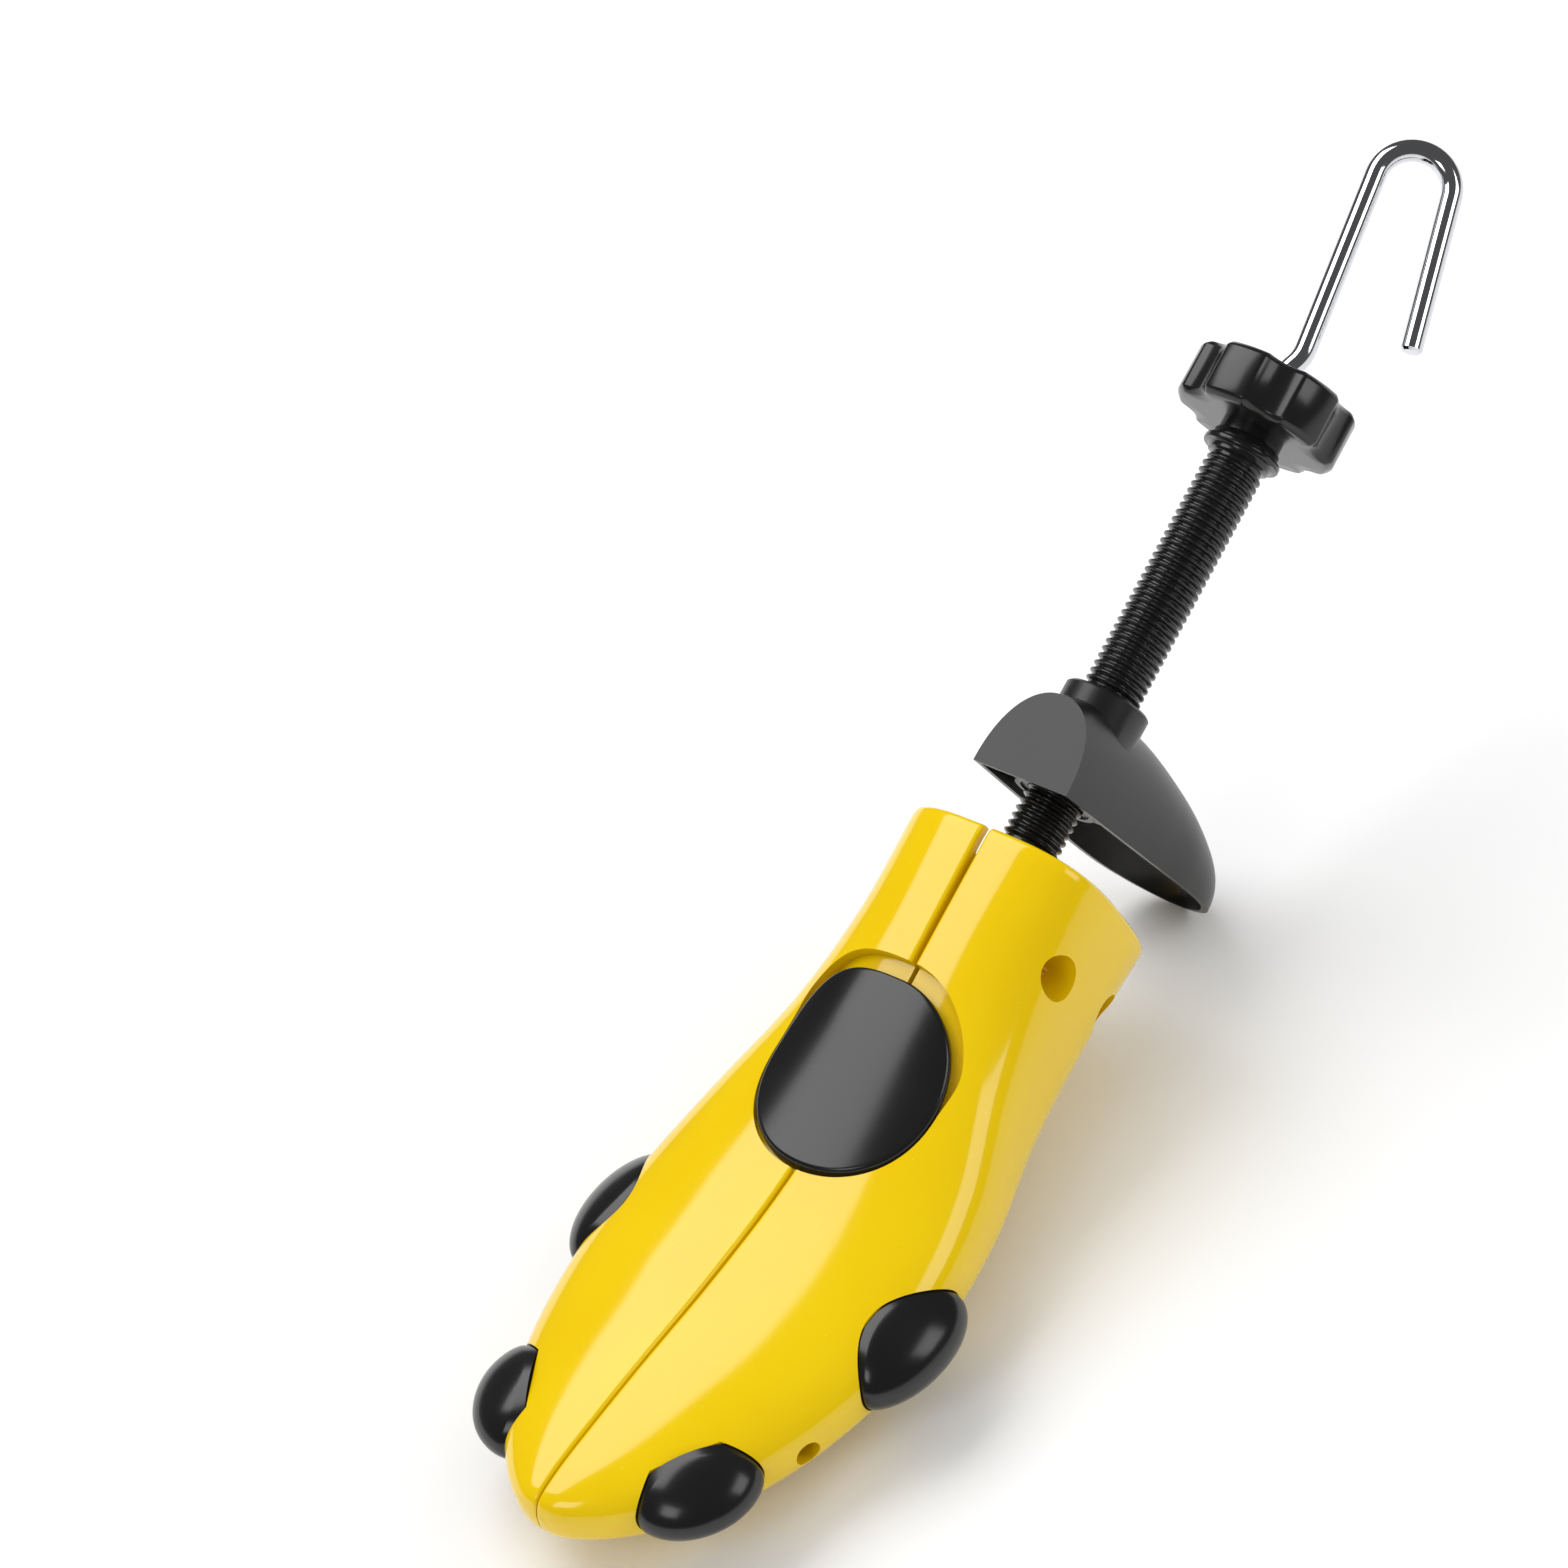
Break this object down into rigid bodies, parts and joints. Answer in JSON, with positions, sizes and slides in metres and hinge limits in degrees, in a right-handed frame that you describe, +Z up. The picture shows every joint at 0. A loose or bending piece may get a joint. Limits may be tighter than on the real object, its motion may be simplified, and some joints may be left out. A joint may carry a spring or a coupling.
{
  "type": "shoe stretcher",
  "caption": "Two-way shoe stretcher: split foot-shaped shell, heel block on a threaded spindle with a star knob, and a wire hook that spreads the toe.",
  "frame": {"origin": "bottom centre: in the seam plane between the halves, at the height of the heel block's tip, and within 1.2 mm of the middle of the length, below the point where the spindle leaves the shell", "axes": "+Z up and square to the sole, which lies 5.6 mm above the origin, -Y towards the toe, +Y towards the knob and hook, +X to the right-hand half of the shell seen from the rear; the spindle rises 25 degrees towards +Y"},
  "size_m": [0.1056, 0.3807, 0.1462],
  "materials": {
    "shell_yellow": "glossy injection-moulded plastic, yellow",
    "black_gloss": "glossy black plastic",
    "black_satin": "satin black plastic",
    "chrome_wire": "bright chrome plate",
    "zinc_steel": "zinc-plated steel",
    "brass": "turned brass"
  },
  "bodies": {
    "frame": {"bearing_yoke": "black_satin", "hinge_pin_upper": "zinc_steel", "hinge_pin_lower": "zinc_steel", "spring_coil": "zinc_steel", "instep_pad": "black_gloss"},
    "shell_left": {"half_shell_left": "shell_yellow", "hinge_leaf_left": "zinc_steel", "leaf_screws_left": "brass"},
    "shell_right": {"half_shell_right": "shell_yellow", "hinge_leaf_right": "zinc_steel", "leaf_screws_right": "brass"},
    "plug_left_front_body": {"plug_left_front": "black_gloss"},
    "plug_left_rear_body": {"plug_left_rear": "black_gloss"},
    "plug_right_front_body": {"plug_right_front": "black_gloss"},
    "plug_right_rear_body": {"plug_right_rear": "black_gloss"},
    "spindle": {"spindle_tube": "black_gloss", "star_knob": "black_gloss", "snap_ring": "zinc_steel"},
    "heel": {"heel_block": "black_satin", "heel_bush": "black_satin"},
    "rod": {"hook_rod": "chrome_wire", "rod_collar": "zinc_steel", "rod_washer": "zinc_steel"},
    "spreader": {"spreading_wedge": "black_satin", "wedge_nut": "brass"}
  },
  "joints": [
    {"name": "spread_left", "type": "hinge", "parent": "frame", "child": "shell_left", "pos_m": [0, -0.00544, 0.05556], "axis": [0, 0.4226, -0.9063], "range_deg": [0, 4.87]},
    {"name": "spread_right", "type": "hinge", "parent": "frame", "child": "shell_right", "pos_m": [0, -0.00544, 0.05556], "axis": [0, -0.4226, 0.9063], "range_deg": [0, 4.87]},
    {"name": "plug_left_front_pull", "type": "slide", "parent": "shell_left", "child": "plug_left_front_body", "axis": [-0.8572, -0.515, 0], "range_m": [0, 0.006]},
    {"name": "plug_left_rear_pull", "type": "slide", "parent": "shell_left", "child": "plug_left_rear_body", "axis": [-0.9994, -0.0349, 0], "range_m": [0, 0.006]},
    {"name": "plug_right_front_pull", "type": "slide", "parent": "shell_right", "child": "plug_right_front_body", "axis": [0.8572, -0.515, 0], "range_m": [0, 0.006]},
    {"name": "plug_right_rear_pull", "type": "slide", "parent": "shell_right", "child": "plug_right_rear_body", "axis": [0.9994, -0.0349, 0], "range_m": [0, 0.006]},
    {"name": "knob_turn", "type": "hinge", "parent": "frame", "child": "spindle", "pos_m": [0, 0, 0.0581], "axis": [0, -0.9063, -0.4226], "range_deg": [-2160, 11880]},
    {"name": "heel_slide", "type": "slide", "parent": "frame", "child": "heel", "axis": [0, 0.9063, 0.4226], "range_m": [-0.012, 0.066]},
    {"name": "hook_turn", "type": "hinge", "parent": "frame", "child": "rod", "pos_m": [0, 0, 0.0581], "axis": [0, -0.9063, -0.4226], "range_deg": [0, 3456]},
    {"name": "wedge_slide", "type": "slide", "parent": "frame", "child": "spreader", "axis": [0, 0.9063, 0.4226], "range_m": [0, 0.012]}
  ],
  "couplings": [
    {"joint": "heel_slide", "follows": "knob_turn", "m_per_rad": 0.0003183},
    {"joint": "wedge_slide", "follows": "hook_turn", "m_per_rad": 0.00019894},
    {"joint": "spread_left", "follows": "hook_turn", "ratio": 0.0014073},
    {"joint": "spread_right", "follows": "hook_turn", "ratio": 0.0014073}
  ]
}
